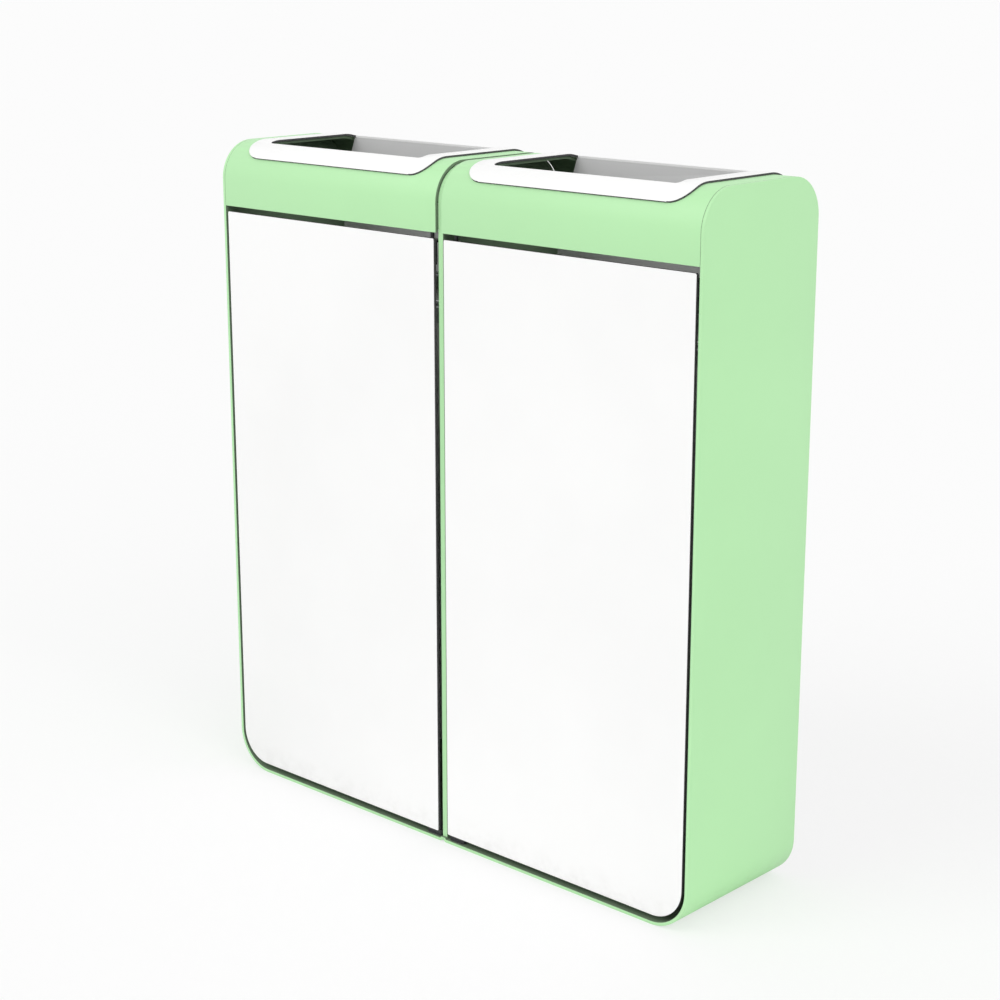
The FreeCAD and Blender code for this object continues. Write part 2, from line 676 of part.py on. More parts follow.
def bush(name, level, flange_level):
    """A flanged sleeve on the pivot axis, through a level leg that starts at the level."""
    bore = "pivot_pin + 2 * pivot_play"
    width = f"{bore} + 2 * bush_wall"
    sleeve = cylinder(f"{name}_sleeve", (PIVOT_X, PIVOT_Y, level), "Z", width, "hinge_gauge")
    brim = f"{bore} + 2 * (bush_wall + bush_brim)"
    flange = cylinder(f"{name}_flange", (PIVOT_X, PIVOT_Y, flange_level), "Z", brim, "bush_flange")
    solid = joined(f"{name}_solid", [sleeve, flange])
    deep = "hinge_gauge + 2 * bush_flange"
    opening = cylinder(f"{name}_bore", (PIVOT_X, PIVOT_Y, f"{level} - bush_flange"), "Z", bore, deep)
    return cut(name, solid, opening)


def make_bushes():
    low = bush("low_bush", LOW_ANGLE, f"{LOW_ANGLE} - bush_flange")
    high_level = f"{HIGH_ANGLE} - hinge_gauge"
    high = bush("high_bush", high_level, HIGH_ANGLE)
    return grouped("right_door_bushes", [low, high])


def make_floor_pivot():
    body = new_body("right_floor_pivot")
    plate = new_sketch(body, "XY", "sheet")
    left = f"{PIVOT_X} - block_length / 2"
    right = f"{PIVOT_X} + block_length / 2"
    depth = (f"{PIVOT_Y} - block_depth / 3", f"{PIVOT_Y} + block_depth * 2 / 3")
    box_outline(plate, (left, right), depth, "block_corner")
    crown = f"({LOW_ANGLE} - bush_flange - bush_seat)"
    pad(body, plate, f"{crown} - sheet")
    pin = new_sketch(body, "XY", crown)
    ring(pin, PIVOT_X, PIVOT_Y, "pivot_pin")
    pad(body, pin, "bush_seat + bush_flange + hinge_gauge + pin_reach")
    return body


def make_top_pin():
    foot = f"({HIGH_ANGLE} - hinge_gauge - pin_reach)"
    seat = f"({RAIL_FOOT} + rail_gauge)"
    length = f"{seat} - {foot} + pin_head / 2"
    shank = cylinder("top_pin_shank", (PIVOT_X, PIVOT_Y, foot), "Z", "pivot_pin", length)
    head = cylinder("top_pin_head", (PIVOT_X, PIVOT_Y, seat), "Z", "pivot_pin + 2 * pin_brim", "pin_head")
    return joined("right_top_pin", [shank, head])


def make_strike():
    body = new_body("right_strike_plate")
    outline = new_sketch(body, "XZ", DOOR_BACK)
    edge = f"{DOOR_OUTER} - strike_inset"
    low = f"{CATCH_MIDDLE} - strike_height / 2"
    high = f"{CATCH_MIDDLE} + strike_height / 2"
    box_outline(outline, (f"{edge} - strike_width", edge), (low, high), "strike_corner")
    pad(body, outline, "strike_gauge")
    return body


def make_catch():
    body = new_body("right_magnet_catch")
    outline = new_sketch(body, "YZ", f"{OUTER_FACE} - catch_width")
    front = f"{DOOR_BACK} + strike_gauge + catch_gap"
    low = f"{CATCH_MIDDLE} - catch_height / 2"
    high = f"{CATCH_MIDDLE} + catch_height / 2"
    box_outline(outline, (front, f"{front} + catch_depth"), (low, high), "catch_corner")
    pad(body, outline, "catch_width")
    return body


# ---------------------------------------------------------------- inside the cabinet

def make_rail(label, sense):
    """Channel behind one of the hood's bands. Sense is -1 at the front and 1 at the back."""
    body = new_body(f"{label}_channel")
    profile = new_sketch(body, "YZ", "sheet")
    near = "(sheet - body_depth / 2)"
    inner_bend = "rail_gauge / 2"
    outer_bend = "rail_gauge * 3 / 2"

    def spot(deep, up, radius=None):
        across = f"{-sense} * ({near} + {deep})"
        return (across, f"{RAIL_FOOT} + {up}") if radius is None else (across, f"{RAIL_FOOT} + {up}", radius)

    trace(profile, [
        spot("0", "rail_height"),
        spot("0", "0", outer_bend),
        spot("rail_depth", "0", outer_bend),
        spot("rail_depth", "rail_lip"),
        spot("rail_depth - rail_gauge", "rail_lip"),
        spot("rail_depth - rail_gauge", "rail_gauge", inner_bend),
        spot("rail_gauge", "rail_gauge", inner_bend),
        spot("rail_gauge", "rail_height"),
    ])
    pad(body, profile, "module_width - 2 * sheet")
    if sense < 0:
        pivot = new_sketch(body, "XY", RAIL_FOOT)
        ring(pivot, PIVOT_X, PIVOT_Y, "pivot_pin + 2 * pivot_play")
        pocket(body, pivot, "rail_gauge")
    level = f"{FACE} + sheet" if sense < 0 else f"{BACK} - sheet - rail_gauge"
    spots = [(across, level, STUD_LEVEL) for across in hood_stud_spots()]
    holes = bars(f"{label}_holes", spots, "Y", "stud + 2 * stud_play", "rail_gauge")
    return cut(label, body, holes)


def make_back_panel():
    body = new_body("panel_sheet")
    outline = new_sketch(body, "XZ", PANEL_FACE)
    inner = "sheet + back_play"
    outer = f"{OUTER_FACE} - back_play"
    trace(outline, [
        (inner, inner, "divider_bend - sheet"),
        (outer, inner, "floor_bend - sheet"),
        (outer, f"{HOOD_EDGE} - back_play"),
        (inner, f"{HOOD_EDGE} - back_play"),
    ])
    pad(body, outline, "back_gauge")
    holes = rivet_bars("panel_holes", PANEL_FACE, "rivet + 2 * rivet_play", "back_gauge")
    return cut("right_back_panel", body, holes)


def make_rivets():
    heads = rivet_bars("rivet_heads", f"{PANEL_FACE} + back_gauge", "rivet + 2 * rivet_brim", "rivet_head")
    shanks = rivet_bars("rivet_shanks", f"{PANEL_FACE} - tab_gauge", "rivet", "tab_gauge + back_gauge")
    level = f"{PANEL_FACE} - tab_gauge - rivet_head"
    upset = rivet_bars("rivet_upsets", level, "rivet + rivet_brim", "rivet_head")
    return joined("right_rivets", [heads, shanks, upset])


def make_shelf():
    body = new_body("folded_shelf")
    foot = f"{SHELF_TOP} - shelf_gauge - shelf_skirt"
    plate = new_sketch(body, "XY", foot)
    box_outline(plate, ("sheet", OUTER_FACE), (SHELF_FRONT, SHELF_REAR))
    pad(body, plate, "shelf_gauge + shelf_skirt")
    # folded edges all round, open below
    hollow = new_sketch(body, "XY", foot)
    across = ("sheet + shelf_gauge", f"{OUTER_FACE} - shelf_gauge")
    box_outline(hollow, across, (f"{SHELF_FRONT} + shelf_gauge", f"{SHELF_REAR} - shelf_gauge"))
    pocket(body, hollow, "shelf_skirt")
    # hole that the bag hangs through
    hole = new_sketch(body, "XY", f"{SHELF_TOP} - shelf_gauge")
    across = ("sheet + shelf_margin", f"{OUTER_FACE} - shelf_margin")
    box_outline(hole, across, (f"{SHELF_FRONT} + shelf_ledge", f"{SHELF_REAR} - shelf_ledge"), "hole_corner")
    pocket(body, hole, "shelf_gauge")
    # clips that the clamp ring's back bar turns in
    for left in ("clip_inset", "(module_width - clip_inset - clip_width)"):
        clip = new_sketch(body, "YZ", left)
        half = "(wire / 2 + clip_play + clip_wall)"
        front = f"{WIRE_REAR} - {half}"
        rear = f"{WIRE_REAR} + {half}"
        top = f"{WIRE_LEVEL} + {half}"
        bend = "(wire / 2 + clip_play)"
        trace(clip, [
            (front, f"{SHELF_TOP} - shelf_gauge / 2"),
            (rear, f"{SHELF_TOP} - shelf_gauge / 2"),
            (rear, top, bend),
            (front, top, bend),
        ])
        ring(clip, WIRE_REAR, WIRE_LEVEL, "wire + 2 * clip_play")
        pad(body, clip, "clip_width")
    # holes for the walls' studs
    walls = ("sheet", f"{OUTER_FACE} - shelf_gauge")
    spots = [(wall, along, SHELF_STUD) for wall in walls for along in shelf_stud_spots()]
    holes = bars("shelf_holes", spots, "X", "stud + 2 * stud_play", "shelf_gauge")
    return cut("right_bag_shelf", body, holes)


def make_clamp_ring():
    body = new_body("right_clamp_ring")
    path = new_sketch(body, "XY", WIRE_LEVEL)
    across = ("sheet + wire_inset", f"{OUTER_FACE} - wire_inset")
    box_outline(path, across, (f"{SHELF_FRONT} + wire_front", WIRE_REAR), "wire_bend")
    section = new_sketch(body, "YZ", MIDDLE)
    small_ring(section, WIRE_REAR, WIRE_LEVEL, "wire")
    doc.recompute()
    wire = body.newObject("PartDesign::AdditivePipe", "clamp_ring_wire")
    wire.Profile = section
    wire.Spine = (path, [f"Edge{number}" for number in range(1, len(path.Shape.Edges) + 1)])
    doc.recompute()
    return body


# ---------------------------------------------------------------- fasteners

def make_nuts(label, spots, axis, flats, bore, height):
    """Hexagon nuts from each of the spots along the axis."""
    blanks = bars(f"{label}_blanks", spots, axis, f"2 * ({flats}) / sqrt(3)", height, HEXAGON_SIDES)
    return cut(label, blanks, bars(f"{label}_bores", spots, axis, bore, height))


def make_rim_nuts():
    # the nuts' corners touch the bends' hollow side
    level = f"{NUT_TOUCH} - nut_height"
    blanks = leaning_bars("rim_nut_blanks", level, "2 * nut_flats / sqrt(3)", "nut_height", HEXAGON_SIDES)
    bores = leaning_bars("rim_nut_bores", level, "stud + 2 * thread_play", "nut_height")
    return cut("right_rim_nuts", blanks, bores)


def make_stud_nuts():
    """The nuts behind the hood's bands and inside the bag shelf's folds."""
    bore = "stud + 2 * thread_play"
    bands = (f"{FACE} + sheet + rail_gauge", f"{BACK} - sheet - rail_gauge - nut_height")
    spots = [(across, level, STUD_LEVEL) for level in bands for across in hood_stud_spots()]
    hood_nuts = make_nuts("right_hood_nuts", spots, "Y", "nut_flats", bore, "nut_height")
    walls = ("sheet + shelf_gauge", f"{OUTER_FACE} - shelf_gauge - nut_height")
    spots = [(wall, along, SHELF_STUD) for wall in walls for along in shelf_stud_spots()]
    shelf_nuts = make_nuts("right_shelf_nuts", spots, "X", "nut_flats", bore, "nut_height")
    return hood_nuts, shelf_nuts


def make_joining_bolts():
    heads = [("sheet", along, up) for along, up in bolt_spots()]
    tail = "(-sheet - bolt_nut - bolt_tail)"
    shanks = [(tail, along, up) for along, up in bolt_spots()]
    return joined("joining_bolts", [
        bars("bolt_heads", heads, "X", "2 * bolt_flats / sqrt(3)", "bolt_head", HEXAGON_SIDES),
        bars("bolt_shanks", shanks, "X", "bolt", f"sheet - {tail} + bolt_head / 2"),
    ])


def make_joining_nuts():
    spots = [("-sheet - bolt_nut", along, up) for along, up in bolt_spots()]
    return make_nuts("joining_nuts", spots, "X", "bolt_flats", "bolt + 2 * thread_play", "bolt_nut")


# ---------------------------------------------------------------- assembly

right_pieces = [
    make_shell(),
    make_hood(),
    make_rim(),
    make_back_panel(),
    make_rail("right_front_rail", -1),
    make_rail("right_rear_rail", 1),
    make_shelf(),
    make_clamp_ring(),
    make_door(),
    make_hinge_angle(
        "right_lower_hinge_angle", LOW_ANGLE, LOW_ANGLE, f"{LOW_ANGLE} + hinge_leg"),
    make_hinge_angle(
        "right_upper_hinge_angle", f"{HIGH_ANGLE} - hinge_gauge", f"{HIGH_ANGLE} - hinge_leg", HIGH_ANGLE),
    make_bushes(),
    make_floor_pivot(),
    make_top_pin(),
    make_strike(),
    make_catch(),
]
fastener_pairs = [make_rim_nuts(), *make_stud_nuts(), make_rivets()]
shared_pieces = [make_joining_bolts(), make_joining_nuts()]
doc.recompute()

pieces = list(right_pieces)
for piece in right_pieces:
    pieces.append(mirrored(piece.Label.replace("right", "left"), piece))
for piece in fastener_pairs:
    twin = mirrored(piece.Label.replace("right", "left"), piece)
    pieces.append(grouped(piece.Label.replace("right_", ""), [piece, twin]))
pieces.extend(shared_pieces)
doc.recompute()

for item in doc.Objects:
    if "Invalid" in item.State or "Error" in item.State:
        raise RuntimeError(f"{item.Name} did not build: {item.State}")
for piece in pieces:
    if piece.Shape.isNull() or not piece.Shape.isValid():
        raise RuntimeError(f"{piece.Label} has no valid shape")

os.makedirs("parts", exist_ok=True)
for piece in pieces:
    piece.Shape.exportStep(f"parts/{piece.Label}.step")
    box = piece.Shape.BoundBox
    print(f"{piece.Label:28s} solids {len(piece.Shape.Solids):2d}  volume {piece.Shape.Volume:10.1f} mm3")
    print(f"    from {box.XMin:7.1f} {box.YMin:7.1f} {box.ZMin:7.1f}")
    print(f"    to   {box.XMax:7.1f} {box.YMax:7.1f} {box.ZMax:7.1f}")
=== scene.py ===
# %% [markdown]
# # A double recycling bin of bent sheet
#
# Two mirror-image cabinets stand side by side. Each one is a folded green sheet with a
# rounded hood, a white deposit rim laid over the hood and a flat white service door.
# The measured model comes in as fixed nodes; this lesson gives those nodes their real
# edges, joints, fasteners and finishes, and then lights and frames them.

# %% Load the measured model
import math

import bmesh
import bpy
from mathutils import Matrix, Vector


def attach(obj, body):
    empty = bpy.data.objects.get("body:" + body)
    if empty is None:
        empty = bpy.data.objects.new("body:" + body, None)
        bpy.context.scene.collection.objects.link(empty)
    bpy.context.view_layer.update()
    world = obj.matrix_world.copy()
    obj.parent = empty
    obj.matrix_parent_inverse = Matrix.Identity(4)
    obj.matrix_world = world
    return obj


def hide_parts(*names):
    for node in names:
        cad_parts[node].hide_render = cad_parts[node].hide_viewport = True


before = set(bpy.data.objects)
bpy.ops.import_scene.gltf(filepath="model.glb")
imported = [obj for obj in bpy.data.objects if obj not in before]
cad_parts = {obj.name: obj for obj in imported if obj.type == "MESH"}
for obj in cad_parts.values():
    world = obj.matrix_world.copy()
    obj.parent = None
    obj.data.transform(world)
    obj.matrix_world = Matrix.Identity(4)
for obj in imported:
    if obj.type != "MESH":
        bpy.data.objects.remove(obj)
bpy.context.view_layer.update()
MM = 0.001
SIDES = {"right": 1, "left": -1}

# %% [markdown]
# ## Writing materials as sums
#
# A procedural finish is mostly arithmetic on patterns. Linking dozens of Math nodes by
# hand hides what they mean, so a small class wraps a node's output and turns each sum
# into its node. Colours are blended by Mix nodes, because a Math node makes them grey.

# %% A wrapper for node outputs
class Wire:
    """A node's output that can take part in a sum."""

    def __init__(self, recipe, socket):
        self.recipe = recipe
        self.socket = socket

    def _sum(self, operation, first, second):
        return self.recipe.node("ShaderNodeMath", {"operation": operation}, {0: first, 1: second})

    def __add__(self, other):
        return self._sum("ADD", self, other)

    __radd__ = __add__

    def __mul__(self, other):
        return self._sum("MULTIPLY", self, other)

    __rmul__ = __mul__

    def __sub__(self, other):
        return self._sum("SUBTRACT", self, other)

    def __rsub__(self, other):
        return self._sum("SUBTRACT", other, self)

    def ramp(self, low, high):
        """0 below low, 1 above high, and smooth between them."""
        settings = {"interpolation_type": "SMOOTHSTEP"}
        inputs = {"Value": self, "From Min": low, "From Max": high}
        return self.recipe.node("ShaderNodeMapRange", settings, inputs)


class Recipe:
    """A material under construction."""

    def __init__(self, name):
        self.material = bpy.data.materials.new(name)
        self.material.use_nodes = True
        self.tree = self.material.node_tree
        self.shader = self.tree.nodes["Principled BSDF"]

    def node(self, kind, settings=None, inputs=None, output=0):
        """Add a node, set it up, feed its sockets and hand back one of its outputs."""
        item = self.tree.nodes.new(kind)
        for key, setting in (settings or {}).items():
            setattr(item, key, setting)
        for key, source in (inputs or {}).items():
            self.feed(item.inputs[key], source)
        return Wire(self, item.outputs[output])

    def feed(self, socket, source):
        if isinstance(source, Wire):
            self.tree.links.new(source.socket, socket)
        else:
            socket.default_value = source

    def place(self, scale=(1, 1, 1)):
        """The point on the piece, in metres, stretched."""
        spot = self.node("ShaderNodeTexCoord", output="Object")
        return self.node("ShaderNodeMapping", inputs={"Vector": spot, "Scale": scale})

    def axis(self, letter):
        spot = self.node("ShaderNodeTexCoord", output="Object")
        return self.node("ShaderNodeSeparateXYZ", inputs={0: spot}, output=letter)

    def noise(self, scale, detail=2.0, roughness=0.5, where=None):
        inputs = {"Vector": where or self.place(), "Scale": scale, "Detail": detail, "Roughness": roughness}
        return self.node("ShaderNodeTexNoise", inputs=inputs)

    def blend(self, factor, first, second):
        """A colour between two colours."""
        pair = {0: factor, 6: first, 7: second}
        return self.node("ShaderNodeMix", {"data_type": "RGBA"}, pair, output=2)

    def bump(self, height, distance):
        inputs = {"Height": height, "Distance": distance, "Strength": 1.0}
        return self.node("ShaderNodeBump", inputs=inputs)

    def finish(self, **sockets):
        for name, source in sockets.items():
            self.feed(self.shader.inputs[name.replace("_", " ").title().replace("Ior", "IOR")], source)
        return self.material


def tint(colour, strength=1.0):
    return (colour[0] * strength, colour[1] * strength, colour[2] * strength, 1.0)


# %% [markdown]
# ## Powder coat
#
# The sheet is sprayed with dry powder and baked. The film flows into a fine orange peel a little over a
# millimetre across, with a tighter grain on top. Handling leaves duller patches, and the lowest few
# centimetres collect floor dust. An even colour with only a gloss value would look like plastic, so each of
# these is a pattern of its own. Three of the colours are painted shade: the inner green is darker than the
# outer green, and the flaps' grey and the back panel's grey are darker than the white coat, to match the
# dark inside under this soft light.

# %% The powder coat recipe
GREEN = (0.470, 0.808, 0.433)
WHITE = (0.93, 0.93, 0.925)
# The next three colours are painted shade: a white back panel, the green inside and the white flaps, each
# darkened.
BACK_PANEL_SHADE_TONE = (0.78, 0.78, 0.775)
INSIDE_SHADE_GREEN = (0.17, 0.25, 0.156)
FLAP_SHADE_TONE = (0.62, 0.62, 0.62)
DUST = (0.36, 0.34, 0.30)
DUST_TOP = 0.055


def powder_coat(name, colour, roughness=0.42):
    coat = Recipe(name)
    peel = coat.noise(780.0, 2.0, 0.45)
    grain = coat.noise(3800.0, 1.0, 0.5)
    cloud = coat.noise(4.0, 3.0, 0.55)
    height = peel * 0.8 + grain * 0.25
    dust_line = 1 - coat.axis("Z").ramp(0.004, DUST_TOP)
    dust = dust_line * coat.noise(60.0, 4.0, 0.65).ramp(0.38, 0.72) * 0.12
    rubbed = coat.noise(9.0, 5.0, 0.7, coat.place((1.0, 1.0, 2.6))).ramp(0.52, 0.74)
    even = coat.blend(cloud.ramp(0.3, 0.7), tint(colour, 0.985), tint(colour, 1.01))
    dusty = coat.blend(dust, even, tint(DUST))
    return coat.finish(
        base_color=dusty,
        roughness=roughness + rubbed * 0.10 + dust * 0.5 + peel * 0.04,
        specular_ior_level=0.42,
        normal=coat.bump(height, 0.00003),
    )


green_coat = powder_coat("green powder coat", GREEN)
white_coat = powder_coat("white powder coat", WHITE, 0.38)
# The next three coats carry painted shade: the back panel's grey, the inside green and the flaps' grey.
back_panel_painted_shade_coat = powder_coat("back panel coat with painted shade", BACK_PANEL_SHADE_TONE, 0.5)
inside_painted_shade_coat = powder_coat("inside coat with painted shade", INSIDE_SHADE_GREEN, 0.62)
flap_painted_shade_coat = powder_coat("shaded flap coat", FLAP_SHADE_TONE, 0.55)
print("powder coats:", [item.name for item in bpy.data.materials if "coat" in item.name])

# %% [markdown]
# ## Cut edges of the white sheet
#
# The white doors and rims have dark edges: the cut thickness of the sheet takes a dark grey that is painted
# shade. A laser leaves fine ridges across such an edge, so the bump is a noise drawn out across the
# thickness.

# %% The cut edge recipe
def cut_edge(name, colour):
    edge = Recipe(name)
    ridges = edge.noise(1.0, 2.0, 0.6, edge.place((2600.0, 180.0, 2600.0)))
    mottled = edge.noise(240.0, 3.0, 0.6)
    shade = edge.blend(mottled.ramp(0.3, 0.7), tint(colour, 0.85), tint(colour, 1.2))
    return edge.finish(
        base_color=shade,
        roughness=0.6 + ridges * 0.15,
        specular_ior_level=0.2,
        normal=edge.bump(ridges, 0.00005),
    )


# The dark grey of the cut edges is painted shade.
edge_painted_shade = cut_edge("cut edge with painted shade", (0.075, 0.075, 0.077))

# %% [markdown]
# ## Zinc, wire and moulded parts
#
# The inner brackets are zinc plated. Zinc freezes in flat crystals that each catch the
# light a little differently, which a Voronoi pattern gives: one random value per cell
# drives the roughness and the shade. The clamp ring is drawn wire, polished by the die,
# so its marks run round in fine lines. The bushes and the magnet's case are moulded.

# %% Metal and plastic recipes
def zinc_plate(name, colour):
    zinc = Recipe(name)
    cells = {"Vector": zinc.place(), "Scale": 160.0, "Randomness": 1.0}
    flake = zinc.node("ShaderNodeTexVoronoi", inputs=cells, output="Color")
    value = zinc.node("ShaderNodeSeparateColor", inputs={0: flake}, output="Red")
    stain = zinc.noise(30.0, 4.0, 0.6)
    shade = zinc.blend(value, tint(colour, 0.92), tint(colour, 1.06))
    return zinc.finish(
        base_color=zinc.blend(stain.ramp(0.55, 0.8) * 0.3, shade, tint(colour, 0.6)),
        roughness=0.34 + value * 0.09 + stain * 0.08,
        metallic=1.0,
        normal=zinc.bump(value * 0.3 + zinc.noise(900.0, 2.0, 0.5) * 0.5, 0.00002),
    )


def drawn_wire(name, colour):
    wire = Recipe(name)
    lines = wire.noise(1.0, 2.0, 0.6, wire.place((700.0, 900.0, 9000.0)))
    return wire.finish(
        base_color=wire.blend(lines.ramp(0.35, 0.7), tint(colour, 0.85), tint(colour, 1.05)),
        roughness=0.16 + lines * 0.14,
        metallic=1.0,
        normal=wire.bump(lines, 0.00001),
    )


def moulded(name, colour, roughness):
    plastic = Recipe(name)
    spark = plastic.noise(2600.0, 2.0, 0.55)
    flow = plastic.noise(70.0, 2.0, 0.5)
    return plastic.finish(
        base_color=plastic.blend(flow.ramp(0.3, 0.7), tint(colour, 0.93), tint(colour, 1.05)),
        roughness=roughness + spark * 0.1,
        normal=plastic.bump(spark, 0.00003),
    )


zinc_sheet = zinc_plate("zinc plated sheet", (0.62, 0.63, 0.64))
zinc_steel = zinc_plate("zinc plated steel", (0.66, 0.67, 0.68))
bright_wire = drawn_wire("bright drawn wire", (0.75, 0.76, 0.77))
pale_nylon = moulded("pale nylon", (0.78, 0.77, 0.72), 0.45)
dark_plastic = moulded("dark moulded plastic", (0.035, 0.035, 0.038), 0.5)
black_steel = moulded("blackened steel", (0.03, 0.031, 0.033), 0.42)

# %% [markdown]
# ## Dressing the sheet nodes
#
# The measured solids have knife edges. On the real bin the coat rolls over each cut
# edge, and that thin highlight is what makes sheet look like sheet. A Bevel node would
# only fake it in the light, so each sheet node is copied, its loose triangles are merged
# into whole faces, and its long sharp edges get a small rounded bevel.

# %% Copy a node and round its edges
def merged_copy(name):
    """A bmesh of the node with whole faces in place of triangles."""
    shape = bmesh.new()
    shape.from_mesh(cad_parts[name].data)
    bmesh.ops.remove_doubles(shape, verts=shape.verts, dist=2e-6)
    bmesh.ops.dissolve_limit(shape, angle_limit=math.radians(0.4), verts=shape.verts, edges=shape.edges)
    return shape


def round_edges(shape, width, material=-1, shortest=1.5 * MM, segments=2):
    """Bevel the sharp edges that are longer than the shortest one worth rounding."""
    chosen = []
    for edge in shape.edges:
        if len(edge.link_faces) == 2 and edge.calc_length() > shortest:
            if edge.calc_face_angle(0.0) > math.radians(35):
                chosen.append(edge)
    bmesh.ops.bevel(
        shape, geom=chosen, offset=width, segments=segments, profile=0.5,
        affect="EDGES", clamp_overlap=True, material=material,
    )
    return len(chosen)


def add_piece(shape, name, body, materials, smooth=30.0):
    """Turn a bmesh into an object that rides on a body."""
    mesh = bpy.data.meshes.new(name)
    shape.to_mesh(mesh)
    shape.free()
    for material in materials:
        mesh.materials.append(material)
    piece = bpy.data.objects.new(name, mesh)
    bpy.context.scene.collection.objects.link(piece)
    mesh.shade_smooth()
    mesh.set_sharp_from_angle(angle=math.radians(smooth))
    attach(piece, body)
    return piece


def dress(node, materials, body="cabinets", choose=None, width=0.35 * MM, rounding=-1):
    """Stand a copy with rounded edges in for a node.

    Choose gives each face its material's number, and rounding does so for the rounded
    edges, which otherwise match the faces beside them.
    """
    shape = merged_copy(node)
    for face in shape.faces:
        face.material_index = choose(face) if choose else 0
    count = round_edges(shape, width, rounding)
    piece = add_piece(shape, f"{node}_sheet", body, materials, 40.0)
    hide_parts(node)
    print(f"{piece.name}: {count} edges rounded, {len(piece.data.polygons)} faces")
    return piece


# %% [markdown]
# ## The cabinets' sheets
#
# The inside looks dark, so the shell's and hood's hollow sides take the darker inner coat, whose colour is
# painted shade. Each face that looks towards the middle of its cabinet is such a face. The shell's cut
# edges keep the outer coat, because spray wraps round an edge.

# %% Shells, hoods and back panels
HALF_WIDTH = 205.0 * MM
BODY_HALF_DEPTH = 110.5 * MM
SHEET = 4.0 * MM
HAIR = 0.1 * MM
END_BAND = 0.5 * MM
BEND_Y = 60.5 * MM
BEND_Z = 850.0 * MM
BEND_RADIUS = 50.0 * MM


def looks_inward(sign):
    """A test for faces that look towards the middle of the cabinet on that side.

    A cut edge at the front or back end of a sheet doesn't count. The inner wall beside
    the hood ends one sheet's thickness further in than the rest.
    """
    middle = Vector((sign * HALF_WIDTH, 0.0, 0.5))

    def choose(face):
        spot = face.calc_center_median()
        at_end = abs(spot.y) > BODY_HALF_DEPTH - END_BAND
        in_wall = abs(spot.x) < SHEET + HAIR and abs(spot.y) > BODY_HALF_DEPTH - SHEET - END_BAND
        cut_edge_face = abs(face.normal.y) > 0.5 and (at_end or in_wall)
        return int(face.normal.dot(middle - spot) > 0.01 and not cut_edge_face)

    return choose


def hood_face(face):
    """Like the shell's faces, but the hood's cut ends take the inner coat too: painted shade down in the
    seams.
    """
    spot = face.calc_center_median()
    inward = looks_inward(math.copysign(1.0, spot.x))
    return 1 if abs(face.normal.x) > 0.9 else inward(face)


for side, sign in SIDES.items():
    dress(f"{side}_shell", (green_coat, inside_painted_shade_coat), choose=looks_inward(sign))
    # The hood's cut ends and rounded edges take the inner coat, painted shade in the seams between the
    # hoods.
    coats = (green_coat, inside_painted_shade_coat)
    dress(f"{side}_hood", coats, choose=hood_face, width=0.6 * MM, rounding=1)
    # The back panel's grey is painted shade on a white panel.
    dress(f"{side}_back_panel", (back_panel_painted_shade_coat,), width=0.15 * MM)
    # The rails take the inner coat, painted shade inside the cabinet.
    for end in ("front", "rear"):
        dress(f"{side}_{end}_rail", (inside_painted_shade_coat,), width=0.2 * MM)
    dress(f"{side}_bag_shelf", (zinc_sheet,), width=0.2 * MM)

# %% [markdown]
# ## The white rims and doors
#
# A rim is one plate, cut flat and bent over the hood, with two flaps folded down into the mouth. Its broad
# faces are white, its cut edges take a dark painted shade and its flaps a grey painted shade. A face
# belongs to an edge when it looks along the plate instead of out of it, and "out of it" turns with the
# bend, so the test compares it with the bend's radius.
# The two long edges of the mouth are folds, not cuts, so they stay white.

# %% Rims
MOUTH_HALF = 144.0 * MM


def rim_face(face):
    """0 for a white face, 1 for a cut edge and 2 for a flap or stud."""
    spot = face.calc_center_median()
    across = abs(abs(spot.x) - HALF_WIDTH)
    if across > MOUTH_HALF + 1.0 * MM and abs(face.normal.x) > 0.9:
        return 1
    beyond = max(abs(spot.y) - BEND_Y, 0.0)
    outward = Vector((0.0, math.copysign(beyond, spot.y), spot.z - BEND_Z))
    if outward.length < BEND_RADIUS - 0.3 * MM:
        return 2
    if abs(face.normal.dot(outward.normalized())) > 0.7:
        return 0
    faces_mouth = face.normal.y * spot.y < 0 and abs(face.normal.x) < 0.5
    return 0 if across < MOUTH_HALF + 1.0 * MM and faces_mouth else 1


for side in SIDES:
    # The rims' cut edges and flaps carry painted shade.
    finishes = (white_coat, edge_painted_shade, flap_painted_shade_coat)
    dress(f"{side}_rim", finishes, choose=rim_face, width=0.2 * MM)

# %% Doors
def door_face(face):
    return int(abs(face.normal.y) < 0.4)


for side in SIDES:
    # The door's cut edges take the dark edge finish, painted shade.
    finishes = (white_coat, edge_painted_shade)
    dress(f"{side}_door", finishes, f"{side}_door_leaf", door_face, 0.2 * MM)

# %% [markdown]
# ## Turned and threaded parts
#
# Rivets, nuts and thread ends are small, but they show at the back and behind an open
# door. A rivet's head is turned: half of its outline is drawn once and spun round its
# axis. A thread is the same idea with a climb: one tooth is spun and lifted by one
# pitch each turn, so every turn lands on the next tooth.

# %% Helpers for turned parts
def lathe(profile, steps=32, turns=1, pitch=0.0):
    """Spin a chain of (radius, height) points, in millimetres, round the Z axis."""
    shape = bmesh.new()
    spots = [shape.verts.new((radius * MM, 0.0, height * MM)) for radius, height in profile]
    chain = [shape.edges.new(pair) for pair in zip(spots, spots[1:])]
    bmesh.ops.spin(
        shape, geom=spots + chain, cent=(0, 0, 0), axis=(0, 0, 1), dvec=(0, 0, pitch * MM / steps),
        angle=math.tau * turns, steps=steps * turns, use_merge=pitch == 0.0,
    )
    bmesh.ops.remove_doubles(shape, verts=shape.verts, dist=1e-6)
    bmesh.ops.recalc_face_normals(shape, faces=shape.faces)
    return shape


